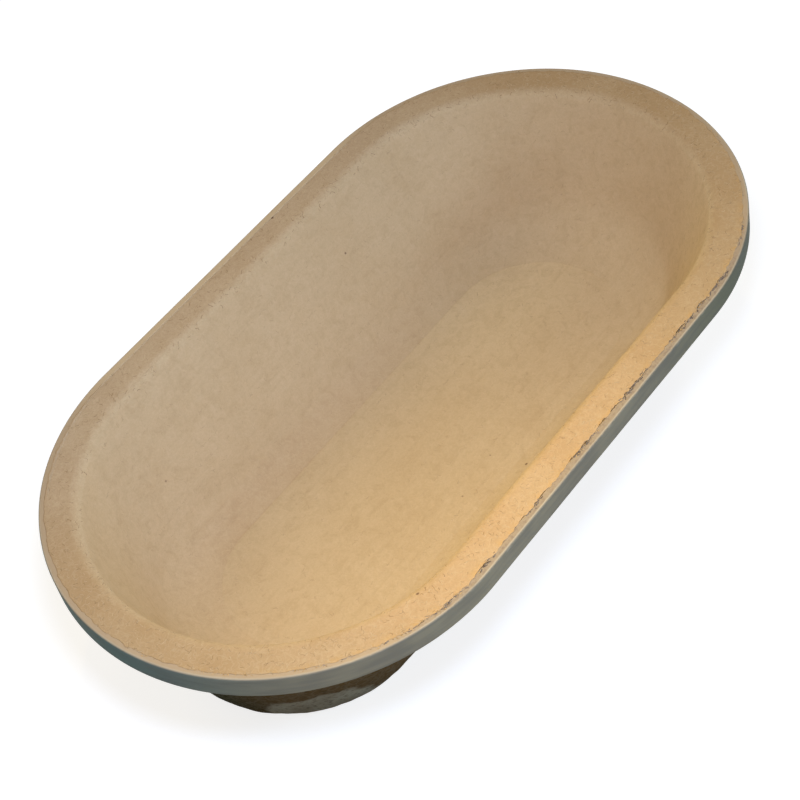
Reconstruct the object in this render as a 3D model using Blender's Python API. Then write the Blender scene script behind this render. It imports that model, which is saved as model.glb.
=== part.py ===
"""Long proofing basket for bread dough.

A moulded wood-pulp shell carries a fine wood-fibre lining, and a hoop closes the edge of its rim.
Metres, +Z up, +X along the basket. The origin is under the middle of the flat base.
"""

import math

import bmesh
import bpy
from mathutils import Vector

# Overall sizes
LENGTH = 0.320
WIDTH = 0.180
HEIGHT = 0.070

# Thicknesses, how far the hoop stands below the flange, and the glue gap that parts each piece from the next
HOOP_THICKNESS = 0.003
HOOP_DROP = 0.0014
LINING_THICKNESS = 0.0025
SHELL_WALL = 0.0056
SHELL_BASE = 0.006
GLUE_GAP = 0.0003

# Insets from the rim's edge: where the flange's top would meet the wall, and the base's edge, which leaves
# the end walls steeper than the side walls
FLANGE_INSET = 0.0143
FOOT_INSET_SIDE = 0.0400
FOOT_INSET_END = 0.0286

# The hollow at the foot of the wall inside: its radius, and the slope at which it meets the floor
HOLLOW_RADIUS_SIDE = 0.020
HOLLOW_RADIUS_END = 0.031
FLOOR_CREASE = math.radians(10)

# Other rounding: from the flange into the wall, its underside, the base's edge, the hoop's outer edges
BEND_RADIUS = 0.005
UNDER_RADIUS = 0.004
BASE_RADIUS = 0.006
HOOP_ARRIS = 0.0008

# Fineness of the round stretches
END_STEPS = 24
WIDE_ARC_STEPS = 7
SMALL_ARC_STEPS = 3
SMOOTH_ANGLE = math.radians(40)

# Depths under the lining's face: the lining's back, the shell's inside and the shell's outside
LINING_BACK = LINING_THICKNESS
SHELL_FACE = LINING_BACK + GLUE_GAP
SHELL_BACK = SHELL_FACE + SHELL_WALL

# Sizes that follow
RIM_RADIUS = WIDTH / 2
RIM_EDGE = HOOP_THICKNESS + GLUE_GAP
FLOOR_HEIGHT = SHELL_BASE + SHELL_FACE

# Foot inset and hollow radius of each flank
SIDE = (FOOT_INSET_SIDE, HOLLOW_RADIUS_SIDE)
END = (FOOT_INSET_END, HOLLOW_RADIUS_END)


def wall_slope(foot):
    """Angle of the wall to the floor, with its face under the flange's corner and its outside at the foot."""
    across = Vector((HEIGHT, foot - FLANGE_INSET))
    return math.acos(SHELL_BACK / across.length) - math.atan2(across.y, across.x)


def wall_inset(height, depth, foot):
    """Inset from the rim's edge of the wall at a height, at a depth under the lining's face."""
    slope = wall_slope(foot)
    return FLANGE_INSET + (HEIGHT - height) / math.tan(slope) - depth / math.sin(slope)


def corner(inset, height, radius=0.0, steps=SMALL_ARC_STEPS):
    """One corner of a section: its place, its rounding and the steps of that arc."""
    return Vector((inset, height)), radius, steps


def flange_corner(depth, foot, radius):
    """Corner from the flange into the wall at a depth under the lining's face."""
    height = HEIGHT - depth
    return corner(wall_inset(height, depth, foot), height, radius)


def hollow(depth, flank):
    """Corners along the hollow from the wall down to the floor, about one centre at every depth."""
    foot, radius = flank
    slope = wall_slope(foot)
    room = (HEIGHT - BEND_RADIUS - FLOOR_HEIGHT) / (math.cos(FLOOR_CREASE) - math.cos(slope))
    radius = min(radius, room)
    rise = radius * math.cos(FLOOR_CREASE)
    centre = Vector((0.0, FLOOR_HEIGHT + rise))
    centre.x = wall_inset(centre.y, 0.0, foot) + radius / math.sin(slope)
    last = math.acos((rise + depth) / (radius + depth))
    corners = []
    for step in range(WIDE_ARC_STEPS + 1):
        angle = slope + (last - slope) * step / WIDE_ARC_STEPS
        spoke = Vector((math.sin(angle), math.cos(angle)))
        corners.append(corner(*(centre - spoke * (radius + depth))))
    return corners


def rounded(corners, closed=False):
    """Points of a section with its corners rounded; an open one leaves out its two end corners."""
    points = []
    count = len(corners)
    for index in range(count) if closed else range(1, count - 1):
        place, radius, steps = corners[index]
        if radius == 0.0:
            points.append(place)
            continue
        back = (corners[index - 1][0] - place).normalized()
        ahead = (corners[(index + 1) % count][0] - place).normalized()
        half = back.angle(ahead) / 2
        centre = place + (back + ahead).normalized() * radius / math.sin(half)
        start = place + back * radius / math.tan(half) - centre
        end = place + ahead * radius / math.tan(half) - centre
        spokes = [start.slerp(end, step / steps).normalized() for step in range(steps + 1)]
        points += [centre + spoke * radius for spoke in spokes]
    return points


def shell_section(flank):
    """Shell from under its base, up the outside, round the rim's edge and down the inside."""
    foot = flank[0]
    return rounded([
        corner(RIM_RADIUS, 0.0),
        corner(foot, 0.0, BASE_RADIUS),
        flange_corner(SHELL_BACK, foot, UNDER_RADIUS),
        corner(RIM_EDGE, HEIGHT - SHELL_BACK),
        corner(RIM_EDGE, HEIGHT - SHELL_FACE),
        flange_corner(SHELL_FACE, foot, BEND_RADIUS - SHELL_FACE),
        *hollow(SHELL_FACE, flank),
        corner(RIM_RADIUS, SHELL_BASE),
    ])


def lining_section(flank):
    """Lining from under its floor, out to the hoop and back over its face."""
    foot = flank[0]
    return rounded([
        corner(RIM_RADIUS, SHELL_BASE + GLUE_GAP),
        *reversed(hollow(LINING_BACK, flank)),
        flange_corner(LINING_BACK, foot, BEND_RADIUS - LINING_BACK),
        corner(RIM_EDGE, HEIGHT - LINING_BACK),
        corner(RIM_EDGE, HEIGHT),
        flange_corner(0.0, foot, BEND_RADIUS),
        *hollow(0.0, flank),
        corner(RIM_RADIUS, FLOOR_HEIGHT),
    ])


def hoop_section(flank):
    """Hoop, a little taller than the edge that it closes, and the same on every flank."""
    bottom = HEIGHT - SHELL_BACK - HOOP_DROP
    return rounded([
        corner(0.0, bottom, HOOP_ARRIS),
        corner(0.0, HEIGHT, HOOP_ARRIS),
        corner(HOOP_THICKNESS, HEIGHT),
        corner(HOOP_THICKNESS, bottom),
    ], closed=True)


def ring(side, end):
    """Places round one ring, straight-sided with round ends, from its side and end section points."""
    half_width = RIM_RADIUS - side.x
    centre = LENGTH / 2 - end.x - half_width
    places = []
    for way in (1, -1):
        for step in range(END_STEPS + 1):
            angle = math.pi * (step / END_STEPS - 0.5)
            height = side.y + (end.y - side.y) * math.cos(angle) ** 2
            x = centre + half_width * math.cos(angle)
            y = half_width * math.sin(angle)
            places.append(Vector((way * x, way * y, height)))
    return places


def loft(name, section, colour, roughness, closed=False):
    """Object of a section carried round the basket; an open section is capped at its two floors.

    Each strip between two rings is split the same way, low to high, so that facing pieces keep their gap.
    """
    bm = bmesh.new()
    rings = []
    for side, end in zip(section(SIDE), section(END)):
        rings.append([bm.verts.new(place) for place in ring(side, end)])
    pairs = list(zip(rings, rings[1:]))
    if closed:
        pairs.append((rings[-1], rings[0]))
    for pair in pairs:
        low, high = sorted(pair, key=lambda verts: verts[0].co.z)
        for index in range(len(low)):
            bm.faces.new((low[index - 1], low[index], high[index]))
            bm.faces.new((low[index - 1], high[index], high[index - 1]))
    if not closed:
        bm.faces.new(rings[0])
        bm.faces.new(rings[-1])
    bmesh.ops.recalc_face_normals(bm, faces=bm.faces)
    if bm.calc_volume(signed=True) < 0.0:
        bmesh.ops.reverse_faces(bm, faces=bm.faces)
    mesh = bpy.data.meshes.new(name)
    bm.to_mesh(mesh)
    bm.free()
    mesh.shade_smooth()
    mesh.set_sharp_from_angle(angle=SMOOTH_ANGLE)
    mesh.materials.append(plain_material(name, colour, roughness))
    piece = bpy.data.objects.new(name, mesh)
    bpy.context.scene.collection.objects.link(piece)
    return piece


def plain_material(name, colour, roughness):
    """Principled material of one colour."""
    material = bpy.data.materials.new(name)
    material.use_nodes = True
    shader = material.node_tree.nodes["Principled BSDF"]
    shader.inputs["Base Color"].default_value = (*colour, 1.0)
    shader.inputs["Roughness"].default_value = roughness
    shader.inputs["Metallic"].default_value = 0.0
    return material


def outer_shell():
    """Moulded wood-pulp shell: flat base, leaning walls and a level flange."""
    return loft("outer_shell", shell_section, (0.25, 0.23, 0.19), 0.9)


def fibre_lining():
    """Fine wood-fibre layer over the floor, the walls and the flange."""
    return loft("fibre_lining", lining_section, (0.58, 0.41, 0.22), 0.85)


def rim_hoop():
    """Strip on edge that closes the flange, flush with the lining and standing just below the shell."""
    return loft("rim_hoop", hoop_section, (0.40, 0.37, 0.32), 0.7, closed=True)


def main():
    """Clear the scene and build the basket."""
    for leftover in list(bpy.data.objects):
        bpy.data.objects.remove(leftover)
    basket = bpy.data.objects.new("proofing_basket", None)
    bpy.context.scene.collection.objects.link(basket)
    for piece in (outer_shell(), fibre_lining(), rim_hoop()):
        piece.parent = basket


main()
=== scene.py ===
"""Looks of a long proofing basket for bread dough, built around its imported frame.

The basket is a moulded wood-pulp shell with a lining of fine wood fibre and a hoop that closes its rim.
Each of the three is modelled again here as a fine mesh with its own procedural finish. Loose fibres lie on
the lining, and crumbs and flakes lie along the ragged seam between it and the hoop. Metres, +Z up, +X along
the basket, origin under the middle of its base.
"""

import logging
import math
import random
from collections.abc import Mapping, Sequence
from dataclasses import dataclass
from enum import Enum
from typing import Any

import bmesh
import bpy
from mathutils import Matrix, Vector, noise


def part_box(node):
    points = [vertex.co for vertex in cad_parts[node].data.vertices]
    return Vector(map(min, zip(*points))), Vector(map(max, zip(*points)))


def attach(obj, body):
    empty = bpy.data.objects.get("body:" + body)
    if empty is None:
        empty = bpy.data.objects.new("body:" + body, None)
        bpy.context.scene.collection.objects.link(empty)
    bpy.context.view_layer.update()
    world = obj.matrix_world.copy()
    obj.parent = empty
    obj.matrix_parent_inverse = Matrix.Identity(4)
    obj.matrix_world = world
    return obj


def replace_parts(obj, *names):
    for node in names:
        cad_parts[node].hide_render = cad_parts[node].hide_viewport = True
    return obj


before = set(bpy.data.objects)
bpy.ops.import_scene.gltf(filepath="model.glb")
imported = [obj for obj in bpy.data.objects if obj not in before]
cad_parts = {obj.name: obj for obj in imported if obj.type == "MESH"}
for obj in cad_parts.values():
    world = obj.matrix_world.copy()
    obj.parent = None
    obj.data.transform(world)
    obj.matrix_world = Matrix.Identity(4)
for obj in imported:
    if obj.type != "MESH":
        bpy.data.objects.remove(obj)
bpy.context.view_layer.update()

LOG = logging.getLogger("proofing_basket")
MM = 0.001
WELD = 0.002 * MM
ROOT = "root"
PALE_FIBRE = "#DCC49C"
DARK_FIBRE = "#A5865A"
# Grey of the shell's felted fibres, and of the painted light on its foot
GREY_FIBRE_AND_PAINTED_LIGHT = "#A49D84"

# A spotlight's power counts for the whole sphere round it, so it takes this many times a panel's
SPOT_TO_PANEL = 4


def linear(colour: str) -> tuple[float, float, float, float]:
    """Turn an sRGB hex colour into the linear colour that a shader takes.

    Args:
        colour: Six hex digits after a hash sign.

    Returns:
        Linear red, green and blue, and an alpha of 1.
    """
    shares = [int(colour[at:at + 2], 16) / 255 for at in (1, 3, 5)]
    red, green, blue = (s / 12.92 if s <= 0.04045 else ((s + 0.055) / 1.055) ** 2.4 for s in shares)
    return red, green, blue, 1.0


def ease(low: float, high: float, value: float) -> float:
    """Rise smoothly from 0 at low to 1 at high."""
    share = min(1.0, max(0.0, (value - low) / (high - low)))
    return share * share * (3 - 2 * share)


def spoke(angle: float) -> Vector:
    """Unit step in a section, as inset and height, that leans inwards from upright by an angle."""
    return Vector((math.sin(angle), math.cos(angle)))


def add_node(tree: bpy.types.NodeTree, kind: str, settings: Mapping[str, Any] | None = None,
             inputs: Mapping[str | int, Any] | None = None) -> bpy.types.Node:
    """Add one shader node with its settings and links.

    Args:
        tree: The node tree that it joins.
        kind: Blender's name for the node.
        settings: The node's own properties.
        inputs: What each input takes, by name or by number: a socket to link from, or a plain value.

    Returns:
        The new node.
    """
    node = tree.nodes.new(kind)
    for name, value in (settings or {}).items():
        setattr(node, name, value)
    for name, value in (inputs or {}).items():
        if isinstance(value, bpy.types.NodeSocket):
            tree.links.new(value, node.inputs[name])
        else:
            node.inputs[name].default_value = value
    return node


class Flank(Enum):
    """Where a section is cut: across a long side or through a round end."""

    SIDE = "side"
    END = "end"


@dataclass(frozen=True)
class BasketForm:
    """The moulded section that the pieces share. A place in it is an inset from the rim and a height."""

    length: float
    width: float
    height: float
    hoop_bottom: float
    rim_edge: float
    shell_base: float
    glue_gap: float = 0.3 * MM
    lining_thickness: float = 2.5 * MM
    shell_wall: float = 5.6 * MM
    flange_inset: float = 14.3 * MM
    side_foot: float = 40.0 * MM
    end_foot: float = 28.6 * MM
    side_hollow: float = 20.0 * MM
    end_hollow: float = 31.0 * MM
    floor_crease: float = math.radians(10)
    bend_radius: float = 5.0 * MM
    under_radius: float = 4.0 * MM
    base_radius: float = 6.0 * MM

    @classmethod
    def from_frame(cls) -> "BasketForm":
        """Read the overall sizes from the frame's nodes.

        Returns:
            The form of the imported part.
        """
        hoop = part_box("rim_hoop")
        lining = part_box("fibre_lining")
        return cls(
            length=hoop[1].x - hoop[0].x,
            width=hoop[1].y - hoop[0].y,
            height=hoop[1].z,
            hoop_bottom=hoop[0].z,
            rim_edge=hoop[1].x - lining[1].x,
            shell_base=lining[0].z - cls.glue_gap,
        )

    @property
    def rim_radius(self) -> float:
        """Radius of the rim's round ends."""
        return self.width / 2

    @property
    def end_centre(self) -> float:
        """Distance along X from the middle to the centre of a round end."""
        return self.length / 2 - self.rim_radius

    @property
    def shell_face(self) -> float:
        """Depth of the shell's inside under the lining's face."""
        return self.lining_thickness + self.glue_gap

    @property
    def shell_back(self) -> float:
        """Depth of the shell's outside under the lining's face."""
        return self.shell_face + self.shell_wall

    @property
    def floor_height(self) -> float:
        """Height of the lining's floor."""
        return self.shell_base + self.shell_face

    def foot(self, flank: Flank) -> float:
        """Inset of the base's edge on a flank."""
        return self.side_foot if flank is Flank.SIDE else self.end_foot

    def slope(self, flank: Flank) -> float:
        """Angle of the wall to the floor on a flank."""
        across = Vector((self.height, self.foot(flank) - self.flange_inset))
        return math.acos(self.shell_back / across.length) - math.atan2(across.y, across.x)

    def wall_inset(self, height: float, depth: float, flank: Flank) -> float:
        """Inset of the wall at a height, at a depth under the lining's face."""
        slope = self.slope(flank)
        return self.flange_inset + (self.height - height) / math.tan(slope) - depth / math.sin(slope)

    def bend_centre(self, flank: Flank) -> Vector:
        """Centre of the bend from the flange into the wall, as inset and height."""
        reach = self.bend_radius * math.tan(self.slope(flank) / 2)
        return Vector((self.flange_inset - reach, self.height - self.bend_radius))

    def bend_end(self, depth: float, flank: Flank) -> Vector:
        """Inset and height where the bend runs into the wall, at a depth under the lining's face."""
        return self.bend_centre(flank) + spoke(self.slope(flank)) * (self.bend_radius - depth)

    def hollow_radius(self, flank: Flank) -> float:
        """Radius of the hollow at the foot of the wall."""
        return self.side_hollow if flank is Flank.SIDE else self.end_hollow

    def hollow_centre(self, flank: Flank) -> Vector:
        """Find the centre of the hollow at the foot of the wall.

        Args:
            flank: Where the section is cut.

        Returns:
            Its inset and height.
        """
        radius = self.hollow_radius(flank)
        height = self.floor_height + radius * math.cos(self.floor_crease)
        return Vector((self.wall_inset(height, 0.0, flank) + radius / math.sin(self.slope(flank)), height))

    def hollow_start(self, depth: float, flank: Flank) -> Vector:
        """Inset and height where the wall runs into the hollow, at a depth under the lining's face."""
        return self.hollow_centre(flank) - spoke(self.slope(flank)) * (self.hollow_radius(flank) + depth)

    def hollow_sweep(self, depth: float, flank: Flank) -> float:
        """Find how far the hollow turns from the wall to the floor.

        Args:
            depth: Depth under the lining's face.
            flank: Where the section is cut.

        Returns:
            The angle in radians.
        """
        radius = self.hollow_radius(flank)
        rise = radius * math.cos(self.floor_crease) + depth
        return self.slope(flank) - math.acos(rise / (radius + depth))

    def hollow_end(self, depth: float, flank: Flank) -> Vector:
        """Inset and height where the hollow meets the floor, at a depth under the lining's face."""
        angle = self.slope(flank) - self.hollow_sweep(depth, flank)
        return self.hollow_centre(flank) - spoke(angle) * (self.hollow_radius(flank) + depth)

    def inward(self, place: Vector) -> Vector:
        """Level direction from a place towards the basket's middle line."""
        nearest = min(self.end_centre, max(-self.end_centre, place.x))
        return Vector((nearest - place.x, -place.y, 0.0)).normalized()


class SectionWire:
    """A section drawn as a wire with one pen: straight runs by extrusion, round ones by spin."""

    def __init__(self, form: BasketForm, inset: float, height: float) -> None:
        """Set the pen down.

        Args:
            form: The sizes that the section is drawn to.
            inset: Inset of the pen's first place.
            height: Height of that place.
        """
        self.form = form
        self.bm = bmesh.new()
        self.ring = self.bm.verts.layers.int.new("ring")
        self.tip = self.bm.verts.new(self.place(inset, height))

    def place(self, inset: float, height: float) -> Vector:
        """Spot in space of a place in the section, which stands across the side at a round end's centre."""
        return Vector((self.form.end_centre, inset - self.form.rim_radius, height))

    def run(self, to: Vector, steps: int = 1) -> int:
        """Draw a straight run.

        Args:
            to: Inset and height of its end.
            steps: Number of edges in it.

        Returns:
            The ring number of its end.
        """
        stride = (self.place(to.x, to.y) - self.tip.co) / steps
        for _ in range(steps):
            here = self.tip.co.copy()
            self.tip = bmesh.ops.extrude_vert_indiv(self.bm, verts=[self.tip])["verts"][0]
            self.tip.co = here + stride
        return len(self.bm.verts) - 1

    def turn(self, centre: Vector, angle: float, steps: int) -> int:
        """Draw a round run.

        Args:
            centre: Inset and height of its centre.
            angle: How far it turns, positive from inwards to upwards.
            steps: Number of edges in it.

        Returns:
            The ring number of its end.
        """
        last = bmesh.ops.spin(self.bm, geom=[self.tip], cent=self.place(centre.x, centre.y), axis=(1, 0, 0),
                              dvec=(0, 0, 0), angle=angle, steps=steps, use_duplicate=False)["geom_last"]
        self.tip = next(part for part in last if isinstance(part, bmesh.types.BMVert))
        return len(self.bm.verts) - 1

    def close(self) -> None:
        """Join the pen's last place to its first."""
        self.bm.verts.ensure_lookup_table()
        self.bm.edges.new((self.tip, self.bm.verts[0]))


def carry_round(side: SectionWire, end: SectionWire, end_steps: int, run_steps: int) -> bmesh.types.BMesh:
    """Carry a section round the basket: a half turn at one end, the straight sides, then their mirror image.

    The end's section differs from the side's, so each ring of the half turn slides along X and eases its
    height towards the end's section on the way.

    Args:
        side: The section across a side, which becomes the mesh.
        end: The same section through an end, ring for ring.
        end_steps: Steps of the half turn.
        run_steps: Steps of half a straight side.

    Returns:
        The closed mesh, with its rings numbered in the layer "ring".
    """
    bm = side.bm
    slides = []
    for number, (at_side, at_end) in enumerate(zip(bm.verts, end.bm.verts)):
        at_side[side.ring] = number
        slides.append(at_side.co - at_end.co)
    end.bm.free()
    centre = side.form.end_centre
    edges = bm.edges[:]
    last = bmesh.ops.spin(bm, geom=bm.verts[:] + edges, cent=(centre, 0, 0), axis=(0, 0, 1), dvec=(0, 0, 0),
                          angle=math.pi, steps=end_steps, use_duplicate=False)["geom_last"]
    for vert in bm.verts:
        slide = slides[vert[side.ring]]
        reach = math.hypot(vert.co.x - centre, vert.co.y)
        share = ((vert.co.x - centre) / reach) ** 2 if reach > WELD else 0.0
        vert.co += Vector((slide.y, 0.0, -slide.z * share))
    edges += [part for part in last if isinstance(part, bmesh.types.BMEdge)]
    for step in range(run_steps, 0, -1):
        drawn = bmesh.ops.extrude_edge_only(bm, edges=edges)["geom"]
        edges = [part for part in drawn if isinstance(part, bmesh.types.BMEdge)]
        verts = [part for part in drawn if isinstance(part, bmesh.types.BMVert)]
        bmesh.ops.scale(bm, vec=((step - 1) / step, 1, 1), verts=verts)
    bmesh.ops.mirror(bm, geom=bm.verts[:] + bm.edges[:] + bm.faces[:], merge_dist=WELD, axis="X")
    bmesh.ops.remove_doubles(bm, verts=bm.verts[:], dist=WELD)
    bmesh.ops.recalc_face_normals(bm, faces=bm.faces[:])
    if bm.calc_volume(signed=True) < 0:
        bmesh.ops.reverse_faces(bm, faces=bm.faces[:])
    bm.normal_update()
    return bm


def settle(bm: bmesh.types.BMesh, name: str, material: bpy.types.Material) -> bpy.types.Object:
    """Make a finished bmesh a piece of the basket.

    Args:
        bm: The finished mesh, which is freed.
        name: The piece's name.
        material: Its finish.

    Returns:
        The piece, at the origin and riding on the frame.
    """
    for face in bm.faces:
        face.smooth = True
    mesh = bpy.data.meshes.new(name)
    bm.to_mesh(mesh)
    bm.free()
    mesh.materials.append(material)
    piece = bpy.data.objects.new(name, mesh)
    bpy.context.scene.collection.objects.link(piece)
    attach(piece, ROOT)
    LOG.info("%s: %d faces", name, len(mesh.polygons))
    return piece


def plain_material(name: str, roughness: float, gloss: float) -> bpy.types.Material:
    """Start a finish's material.

    Args:
        name: What the material is called.
        roughness: How far its surface spreads a reflection.
        gloss: How strong a reflection is, as a specular level.

    Returns:
        A material with one Principled shader of that surface, still without its colour.
    """
    material = bpy.data.materials.new(name)
    material.use_nodes = True
    shader = material.node_tree.nodes["Principled BSDF"]
    shader.inputs["Roughness"].default_value = roughness
    shader.inputs["Specular IOR Level"].default_value = gloss
    return material


@dataclass(frozen=True)
class Coat:
    """One tone of a finish. It starts to show at one value of a pattern and shows most at another."""

    colour: str
    starts: float
    full: float
    most: float = 1.0

    def over(self, tree: bpy.types.NodeTree, below: Any, pattern: bpy.types.NodeSocket,
             thinned: Any = 1.0) -> bpy.types.NodeSocket:
        """Lay the coat over a colour.

        Args:
            tree: The material's nodes.
            below: The colour, or the socket that gives it.
            pattern: The socket that gives the pattern.
            thinned: The share of the coat that stays on, or the socket that gives it.

        Returns:
            The socket that gives the new colour.
        """
        shown = add_node(tree, "ShaderNodeMapRange", {"interpolation_type": "SMOOTHSTEP"}, {
            "Value": pattern, "From Min": self.starts, "From Max": self.full, "To Max": self.most})
        kept = add_node(tree, "ShaderNodeMath", {"operation": "MULTIPLY"}, {
            0: shown.outputs["Result"], 1: thinned})
        return add_node(tree, "ShaderNodeMix", {"data_type": "RGBA"}, {
            0: kept.outputs["Value"], 6: below, 7: linear(self.colour)}).outputs[2]


@dataclass(frozen=True)
class PressedWoodFibre:
    """Finish of the lining: fine spruce fibre, felted wet and pressed dry.

    It is dull and even. Single fibres show as faint pale and dark curls, clumps as soft mottling, and a bark
    speck is left here and there. The lip was pressed hardest, so it is browner than the well and its curls
    show more. Painted shade darkens the lip further towards its ends, most at the +X -Y corner, and the lip
    turns more orange near its torn edge along -Y. Painted warm light warms the lip's tone along the -Y side.
    Painted shade darkens the hollow along the floor, and painted light brightens the floor's +X end and the
    wall at its +X -Y corner.
    """

    well: str = "#C8AC81"
    # Painted shade in the hollow round the floor
    hollow: str = "#C2A47B"
    # Painted light on the floor's +X end and on the wall at its +X -Y corner
    painted_lit: str = "#D5BA8C"
    lip: str = "#BB9E79"
    # Painted shade on the lip towards its ends
    lip_end_shade: str = "#B28F62"
    bark: str = "#6A4E36"
    # Painted warm light on the lip along the -Y side
    painted_warm_lip: Coat = Coat("#BF9A6D", 60 * MM, -80 * MM)
    mottling: Coat = Coat(PALE_FIBRE, 0.3, 0.7, 0.14)
    blotching: Coat = Coat(DARK_FIBRE, 0.4, 0.75, 0.22)
    streaking: Coat = Coat(DARK_FIBRE, 0.5, 0.8, 0.16)
    gritting: Coat = Coat(DARK_FIBRE, 0.42, 0.68, 0.2)
    curling: Coat = Coat(DARK_FIBRE, 0.5, 0.78)
    felting: Coat = Coat(PALE_FIBRE, 0.55, 0.8, 0.12)
    # More orange near the lining's torn edge along -Y
    orange_edge: Coat = Coat("#D3A055", 0.42, 0.68, 0.5)
    well_grit: float = 0.45
    well_curls: float = 0.10
    lip_curls: float = 0.16
    clump_size: float = 30 * MM
    blotch_size: float = 6.5 * MM
    draw_length: float = 60 * MM
    draw_width: float = 2.5 * MM
    # Real fibres and grit are too fine to show, so these three are as coarse as they need to be
    fibre_spacing: float = 2.2 * MM
    curl_spacing: float = 1.4 * MM
    grit_size: float = 0.7 * MM
    speck_spacing: float = 26 * MM
    speck_size: float = 0.8 * MM
    speck_core: float = 0.4
    speck_depth: float = 0.85
    relief: float = 0.10 * MM
    relief_strength: float = 0.5
    fibre_rise: float = 0.5
    curl_rise: float = -0.4
    roughness: float = 0.95
    gloss: float = 0.12

    def material(self) -> bpy.types.Material:
        """Build the finish's material.

        Returns:
            A material that reads Object coordinates and the lining's "lip", "end", "seam", "hollow" and
            "floured" attributes.
        """
        material = plain_material("pressed_wood_fibre", self.roughness, self.gloss)
        tree = material.node_tree
        shader = tree.nodes["Principled BSDF"]
        where = add_node(tree, "ShaderNodeTexCoord").outputs["Object"]
        clumps = add_node(tree, "ShaderNodeTexNoise", None, {
            "Vector": where, "Scale": 1 / self.clump_size, "Detail": 3.0, "Roughness": 0.55}).outputs["Fac"]
        blotches = add_node(tree, "ShaderNodeTexNoise", None, {
            "Vector": where, "Scale": 1 / self.blotch_size, "Detail": 4.0, "Roughness": 0.6,
            "Distortion": 1.2}).outputs["Fac"]
        drawn_out = add_node(tree, "ShaderNodeMapping", {"vector_type": "POINT"}, {
            "Vector": where, "Scale": (1 / self.draw_length, 1 / self.draw_width, 1 / self.draw_width)})
        streaks = add_node(tree, "ShaderNodeTexNoise", None, {
            "Vector": drawn_out.outputs["Vector"], "Scale": 1.0, "Detail": 3.0,
            "Roughness": 0.6}).outputs["Fac"]
        fibres = add_node(tree, "ShaderNodeTexNoise", {"noise_type": "RIDGED_MULTIFRACTAL"}, {
            "Vector": where, "Scale": 1 / self.fibre_spacing, "Detail": 0.0, "Offset": 0.9, "Gain": 1.0,
            "Distortion": 0.6}).outputs["Fac"]
        curls = add_node(tree, "ShaderNodeTexNoise", {"noise_type": "RIDGED_MULTIFRACTAL"}, {
            "Vector": where, "Scale": 1 / self.curl_spacing, "Detail": 0.0, "Offset": 0.9, "Gain": 1.0,
            "Distortion": 1.0}).outputs["Fac"]
        grit = add_node(tree, "ShaderNodeTexNoise", None, {
            "Vector": where, "Scale": 1 / self.grit_size, "Detail": 1.0, "Roughness": 0.6}).outputs["Fac"]
        specks = add_node(tree, "ShaderNodeTexVoronoi", {"feature": "F1"}, {
            "Vector": where, "Scale": 1 / self.speck_spacing, "Randomness": 1.0}).outputs["Distance"]
        lip, end, seam, hollow, painted_lit = (
            add_node(tree, "ShaderNodeAttribute", {"attribute_name": name}).outputs["Fac"]
            for name in ("lip", "end", "seam", "hollow", "painted_lit"))
        axes = add_node(tree, "ShaderNodeSeparateXYZ", None, {"Vector": where})

        # The lip's own tone, warmed along -Y by painted warm light
        lipped = self.painted_warm_lip.over(tree, linear(self.lip), axes.outputs["Y"])
        # Painted shade darkens the lip towards its ends
        lipped = add_node(tree, "ShaderNodeMix", {"data_type": "RGBA"}, {
            0: end, 6: lipped, 7: linear(self.lip_end_shade)}).outputs[2]
        colour = linear(self.well)
        # Painted shade in the hollow and painted light on the floor and a wall, then the lip's tone
        for share, tone in ((hollow, linear(self.hollow)), (painted_lit, linear(self.painted_lit)), (lip, lipped)):
            colour = add_node(tree, "ShaderNodeMix", {"data_type": "RGBA"}, {
                0: share, 6: colour, 7: tone}).outputs[2]
        gritty = add_node(tree, "ShaderNodeMapRange", None, {"Value": lip, "To Min": self.well_grit})
        curly = add_node(tree, "ShaderNodeMapRange", None, {
            "Value": lip, "To Min": self.well_curls, "To Max": self.lip_curls})
        speck_edge = self.speck_size / self.speck_spacing
        specking = Coat(self.bark, speck_edge, speck_edge * self.speck_core, self.speck_depth)
        for coat, pattern, thinned in (
                (self.mottling, clumps, 1.0),
                (self.blotching, blotches, 1.0),
                (self.streaking, streaks, 1.0),
                (self.gritting, grit, gritty.outputs["Result"]),
                (self.curling, curls, curly.outputs["Result"]),
                (self.felting, fibres, 1.0),
                (specking, specks, 1.0),
                (self.orange_edge, blotches, seam)):
            colour = coat.over(tree, colour, pattern, thinned)
        tree.links.new(colour, shader.inputs["Base Color"])

        felt = add_node(tree, "ShaderNodeMath", {"operation": "MULTIPLY_ADD"}, {
            0: fibres, 1: self.fibre_rise, 2: grit})
        height = add_node(tree, "ShaderNodeMath", {"operation": "MULTIPLY_ADD"}, {
            0: curls, 1: self.curl_rise, 2: felt.outputs["Value"]})
        bump = add_node(tree, "ShaderNodeBump", None, {
            "Strength": self.relief_strength, "Distance": self.relief, "Height": height.outputs["Value"]})
        tree.links.new(bump.outputs["Normal"], shader.inputs["Normal"])
        return material


@dataclass(frozen=True)
class LooseScrap:
    """Finish of fibres and crumbs: the same wood fibre in single bits, each of one tone, dull and dry."""

    name: str
    dark: str
    pale: str
    roughness: float = 0.95
    gloss: float = 0.12

    def material(self) -> bpy.types.Material:
        """Build the finish's material.

        Returns:
            A material that reads each bit's "tone" attribute.
        """
        material = plain_material(self.name, self.roughness, self.gloss)
        tree = material.node_tree
        shader = tree.nodes["Principled BSDF"]
        tone = add_node(tree, "ShaderNodeAttribute", {"attribute_name": "tone"}).outputs["Fac"]
        colour = add_node(tree, "ShaderNodeMix", {"data_type": "RGBA"}, {
            0: tone, 6: linear(self.dark), 7: linear(self.pale)})
        tree.links.new(colour.outputs[2], shader.inputs["Base Color"])
        return material


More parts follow.
